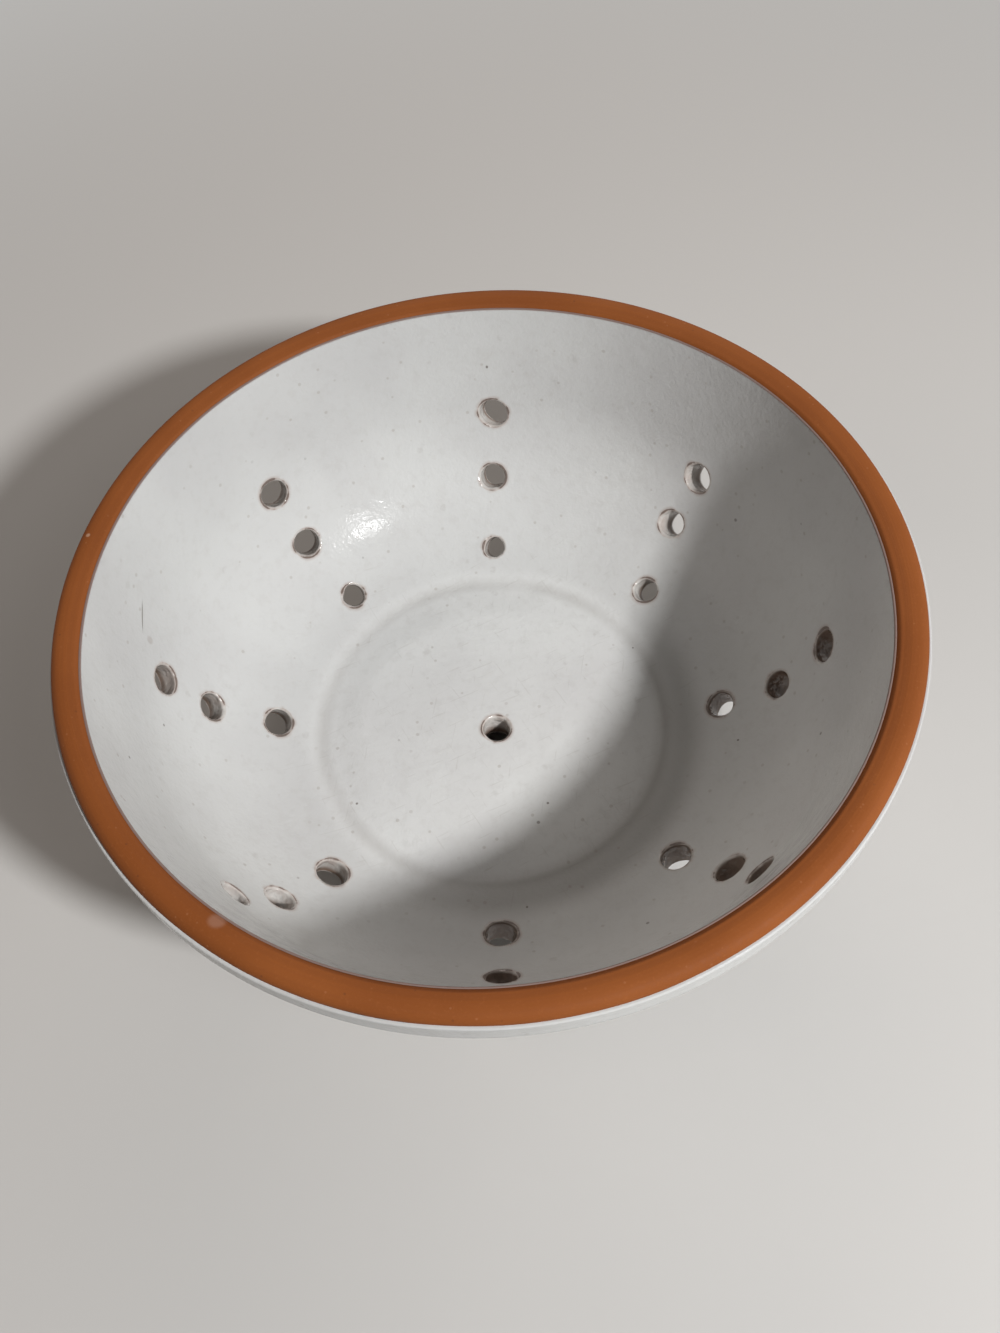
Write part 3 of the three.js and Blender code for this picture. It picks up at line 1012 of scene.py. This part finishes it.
def floor_marks(tree, vector, colour):
    """Fine hairs in the floor, and painted shade in the groove and beyond it on the shaded near right
    side.
    """
    low = remap(tree, axes_of(tree, vector)["Z"], *HAIR_HEIGHTS)
    for turn, threshold in HAIRS:
        hairs = noise(tree, drawn(tree, vector, turn), 1.0)
        hairs = remap(tree, hairs, (threshold, threshold + HAIR_EDGE))
        colour = blend(tree, times(tree, hairs, low), colour, HAIR_GREY)
    # Painted shade: the groove, and the glaze beyond it on the side toward the key lamp, where the rim
    # casts its shadow
    from_groove = ring_gap(tree, vector, GROOVE)
    painted_shade = times(tree, remap(tree, from_groove, SHADE_STARTS), remap(tree, from_groove, SHADE_ENDS))
    side = node(tree, "ShaderNodeVectorMath", {0: vector, 1: SHADE_SIDE_WAY}, operation="DOT_PRODUCT")
    painted_shade = times(tree, painted_shade, remap(tree, side.outputs["Value"], *SHADE_SIDE))
    colour = blend(tree, painted_shade, colour, SHADE_BROWN)
    groove = remap(tree, maths(tree, "ABSOLUTE", from_groove), GROOVE_SHADE_REACH)
    patches = remap(tree, noise(tree, vector, GROOVE_SCALE, PLAIN_NOISE), *GROOVE_SHADE_PATCHES)
    return blend(tree, times(tree, groove, patches), colour, GROOVE_SHADE_GREY)


def mottled(tree, vector, colour):
    """Mottle, with pits where it is strong."""
    mottle = noise(tree, vector, MOTTLE_SCALE, RICH_NOISE, MOTTLE_ROUGH)
    colour = blend(tree, remap(tree, mottle, *MOTTLE), colour, MOTTLE_GREY)
    pits = times(tree, specks(tree, vector, *PITS), remap(tree, mottle, PITTED))
    return blend(tree, times(tree, pits, PIT_SHARE), colour, PIT_GREY)


def worn_edges(tree, vector, colour, deep_tone):
    """Thin and broken glaze, painted shade in the bores, and the stained glaze line."""
    patches = remap(tree, noise(tree, vector, WORN_SCALE, RICH_NOISE), *WORN_PATCHES)
    worn = times(tree, attribute(tree, "thin"), patches)
    for span, most, tone in WORN_STAGES:
        colour = blend(tree, remap(tree, worn, span, most), colour, tone)
    colour = blend(tree, remap(tree, attribute(tree, "deep"), *DEEP_SHADE), colour, deep_tone)
    return blend(tree, remap(tree, attribute(tree, "line"), *STAINED), colour, STAIN_BROWN)


def glaze_material(name, light, shade, deep, gloss, shine, lump_scale, lumpy):
    material, tree, shader = new_material(name)
    vector = place(tree)
    broad = remap(tree, noise(tree, vector, BROAD_SCALE), MIDDLE)
    colour = blend(tree, broad, shade, light)
    colour = wall_tones(tree, vector, colour)
    colour = floor_marks(tree, vector, colour)
    colour = mottled(tree, vector, colour)
    colour = speckled(tree, vector, colour, GLAZE_SPECKS)
    colour = seen_marks(tree, vector, colour, GLAZE_MARKS)
    colour = worn_edges(tree, vector, colour, deep)
    rough = remap(tree, noise(tree, vector, GLOSS_SCALE, RICH_NOISE), MIDDLE, gloss[1], gloss[0])
    lumps = relief(tree, noise(tree, vector, lump_scale), lumpy, LUMP_HEIGHT)
    grain = relief(tree, noise(tree, vector, GLAZE_GRAIN_SCALE), *GLAZE_GRAIN, lumps)
    tree.links.new(colour, shader.inputs["Base Color"])
    tree.links.new(rough, shader.inputs["Roughness"])
    tree.links.new(grain, shader.inputs["Normal"])
    shader.inputs["Specular IOR Level"].default_value = shine
    return material


# Clay: its tones, the lines that turning left, its grain, the specks and marks on it, and painted shade on
# the rim's bevel
CLAY_BROAD_SCALE = 30.0
CLAY_SHADE = (0.203, 0.0588, 0.0133)
CLAY_LIGHT = (0.249, 0.0756, 0.0180)
LINE_STRETCH = 60.0
LINE_SCALE = 30.0
LINES = ((0.35, 0.7), 0.30)
LINE_BROWN = (0.21, 0.062, 0.017)
LINE_RELIEF = (0.20, 0.0003)
CLAY_GRAIN_SCALE = 1400.0
CLAY_GRAIN_ROUGH = 0.6
CLAY_GRAIN = ((0.5, 0.8), 0.18)
CLAY_GRAIN_TONE = (0.36, 0.13, 0.045)
CLAY_GRAIN_RELIEF = (0.25, 0.00015)
CLAY_SPECKS = (
    ((420.0, 0.13, 0.6), 0.18, (0.44, 0.21, 0.11)),
    ((300.0, 0.10, 0.5), 0.5, (0.12, 0.04, 0.016)),
)
CLAY_MARKS = (
    ((-53.6, -77.6, 79.5), (2.3, 2.3, 3.5), 0.0, 0.22, (0.52, 0.36, 0.29)),
    ((-95.2, 20.6, 80.0), (0.7, 0.7, 3.0), 0.0, 0.6, (0.50, 0.32, 0.22)),
)
BEVEL_SHADE = ((0.0, 1.0), 0.13)
BEVEL_SHADE_BROWN = (0.15, 0.045, 0.014)
CLAY_ROUGH = (MIDDLE, 0.76, 0.60)
CLAY_SHINE = 0.12


def clay_material():
    material, tree, shader = new_material("terracotta")
    vector = place(tree)
    axes = axes_of(tree, vector)
    flat = node(tree, "ShaderNodeCombineXYZ", {"X": axes["X"], "Y": axes["Y"]})
    along = node(tree, "ShaderNodeCombineXYZ", {
        "X": times(tree, far_off(tree, flat.outputs[0]), LINE_STRETCH),
        "Y": times(tree, axes["Z"], LINE_STRETCH)})
    lines = noise(tree, along.outputs[0], LINE_SCALE)
    grain = noise(tree, vector, CLAY_GRAIN_SCALE, RICH_NOISE, CLAY_GRAIN_ROUGH)
    broad = remap(tree, noise(tree, vector, CLAY_BROAD_SCALE, RICH_NOISE), MIDDLE)
    colour = blend(tree, broad, CLAY_SHADE, CLAY_LIGHT)
    colour = blend(tree, remap(tree, lines, *LINES), colour, LINE_BROWN)
    colour = blend(tree, remap(tree, grain, *CLAY_GRAIN), colour, CLAY_GRAIN_TONE)
    colour = speckled(tree, vector, colour, CLAY_SPECKS)
    colour = seen_marks(tree, vector, colour, CLAY_MARKS)
    # Painted shade: the rim's inner bevel is darker
    bevel = remap(tree, attribute(tree, "line"), *BEVEL_SHADE)
    colour = blend(tree, bevel, colour, BEVEL_SHADE_BROWN)
    line_relief = relief(tree, lines, *LINE_RELIEF)
    tree.links.new(colour, shader.inputs["Base Color"])
    tree.links.new(remap(tree, grain, *CLAY_ROUGH), shader.inputs["Roughness"])
    tree.links.new(relief(tree, grain, *CLAY_GRAIN_RELIEF, line_relief), shader.inputs["Normal"])
    shader.inputs["Specular IOR Level"].default_value = CLAY_SHINE
    return material


white = glaze_material("white_glaze", **WHITE_LOOK)
ran = glaze_material("glaze_in_holes", **RAN_LOOK)
terracotta = clay_material()

# The pieces
inside_top = inside.profile.length - INSIDE_EDGE
inside_lengths = np.concatenate([
    *(spread(*stretch) for stretch in INSIDE_STRETCHES),
    spread(INSIDE_WALL[0], inside_top - INSIDE_WALL[1], WALL_SPACING),
    inside_top - np.array(INSIDE_LAST)])
outside_top = outside.profile.length - OUTSIDE_EDGE
outside_lengths = np.concatenate([
    OUTSIDE_EDGE + np.array(OUTSIDE_FIRST),
    spread(*OUTSIDE_FOOT),
    spread(OUTSIDE_WALL[0], outside_top - OUTSIDE_WALL[1], WALL_SPACING),
    spread(outside_top - OUTSIDE_LAST, outside_top, OUTSIDE_LAST_SPACING)])
coat("glaze_inside", inside, inside_lengths, all_holes, INSIDE_EDGE, INSIDE_SEAT, INSIDE_STAIN,
     white, "inside_glaze")
coat("glaze_outside", outside, outside_lengths, wall_holes, OUTSIDE_EDGE, CLAY_DEPTH, OUTSIDE_STAIN,
     white, "outside_glaze")
clay(terracotta)
for number, hole in enumerate(wall_holes):
    lining(hole, FIRST_SEED + SEED_STEP * number, outside, LIP, ran)
lining(centre_hole, CENTRE_SEED, underside, CENTRE_UNDER_LIP, ran)

# The floor, in metres
FLOOR_SIDE = 3.0
FLOOR_TONE = (0.50, 0.49, 0.475)
FLOOR_ROUGH = 0.8
floor_mesh = bpy.data.meshes.new("floor")
corners = [(x * FLOOR_SIDE, y * FLOOR_SIDE, 0) for x, y in ((-1, -1), (1, -1), (1, 1), (-1, 1))]
floor_mesh.from_pydata(corners, [], [(0, 1, 2, 3)])
floor = bpy.data.objects.new("floor", floor_mesh)
bpy.context.scene.collection.objects.link(floor)
floor_material, floor_tree, floor_shader = new_material("pale_floor")
floor_shader.inputs["Base Color"].default_value = (*FLOOR_TONE, 1)
floor_shader.inputs["Roughness"].default_value = FLOOR_ROUGH
floor_mesh.materials.append(floor_material)


def shows_backdrop(tree):
    """One for rays that show the backdrop, nought for those that carry light to the bowl."""
    rays = node(tree, "ShaderNodeLightPath").outputs
    mirrored = maths(tree, "MAXIMUM", rays["Is Glossy Ray"], rays["Is Transmission Ray"])
    return maths(tree, "MAXIMUM", rays["Is Camera Ray"], mirrored)


# Far from the bowl, the floor fades into the backdrop
BACKDROP = (0.48, 0.47, 0.455)
FADE = (0.22, 0.55)
fade = times(floor_tree, remap(floor_tree, far_off(floor_tree, place(floor_tree)), FADE),
             shows_backdrop(floor_tree))
plain = node(floor_tree, "ShaderNodeEmission", {"Color": BACKDROP})
faded = node(floor_tree, "ShaderNodeMixShader", {0: fade, 1: floor_shader.outputs[0], 2: plain.outputs[0]})
floor_tree.links.new(faded.outputs[0], floor_tree.nodes["Material Output"].inputs["Surface"])

# Lamps: azimuth and elevation in degrees, distance and size in metres, power in watts, colour
PLAIN_LIGHT = (1, 1, 1)
FILL_LIGHT = (1.0, 0.89, 0.81)
LAMP_AIM = Vector((0, 0, 0.04))
LAMPS = (
    ("key", -42.5, 41.1, 1.048, 0.105, 12.8, PLAIN_LIGHT),
    ("upper", -42.5, 50.7, 1.29, 0.25, 0.9, PLAIN_LIGHT),
    ("left_fill", -178.0, 30.0, 1.3, 0.7, 2.7, FILL_LIGHT),
    ("far_fill", 88.0, 28.0, 1.3, 0.8, 4.4, FILL_LIGHT),
    ("right_fill", 27.0, 21.0, 1.3, 0.7, 1.1, PLAIN_LIGHT),
)


def lamp(name, azimuth, elevation, distance, size, power, colour):
    """A round lamp that points at the bowl."""
    light = bpy.data.lights.new(name, "AREA")
    light.shape = "DISK"
    light.size = size
    light.energy = power
    light.color = colour
    made = bpy.data.objects.new(name, light)
    bpy.context.scene.collection.objects.link(made)
    turn, rise = math.radians(azimuth), math.radians(elevation)
    way = Vector((math.cos(rise) * math.cos(turn), math.cos(rise) * math.sin(turn), math.sin(rise)))
    made.location = way * distance + LAMP_AIM
    made.rotation_euler = way.to_track_quat("Z", "Y").to_euler()


for settings in LAMPS:
    lamp(*settings)

# The sky gives a weak warm light; what is seen behind the bowl is the backdrop
SKY_TONE = (1, 0.95, 0.9)
SKY_STRENGTH = 0.06
world = bpy.data.worlds.new("studio")
bpy.context.scene.world = world
world.use_nodes = True
sky_tree = world.node_tree
sky = sky_tree.nodes["Background"]
sky.inputs["Color"].default_value = (*SKY_TONE, 1)
sky.inputs["Strength"].default_value = SKY_STRENGTH
backdrop = node(sky_tree, "ShaderNodeBackground", {"Color": BACKDROP})
behind = node(sky_tree, "ShaderNodeMixShader", {
    0: shows_backdrop(sky_tree), 1: sky.outputs[0], 2: backdrop.outputs[0]})
sky_tree.links.new(behind.outputs[0], sky_tree.nodes["World Output"].inputs["Surface"])

# The camera of the photograph: focal length in its pixels, axes and place in metres
FOCAL_PX = 1200.0
LONG_SIDE_PX = 1333.0
SENSOR = 36.0
CLIP_START = 0.01
CAMERA_RIGHT = (0.99812, -0.02088, -0.05754)
CAMERA_UP = (0.04801, 0.85023, 0.52422)
CAMERA_BACK = (0.03798, -0.52600, 0.84964)
CAMERA_AT = (0.013554, -0.160789, 0.303702)
camera_data = bpy.data.cameras.new("camera")
camera_data.sensor_width = SENSOR
camera_data.lens = FOCAL_PX / LONG_SIDE_PX * SENSOR
camera_data.clip_start = CLIP_START
camera = bpy.data.objects.new("camera", camera_data)
bpy.context.scene.collection.objects.link(camera)
camera.matrix_world = Matrix((*zip(CAMERA_RIGHT, CAMERA_UP, CAMERA_BACK, CAMERA_AT), (0, 0, 0, 1)))
bpy.context.scene.camera = camera
bpy.context.scene.view_settings.view_transform = "Standard"
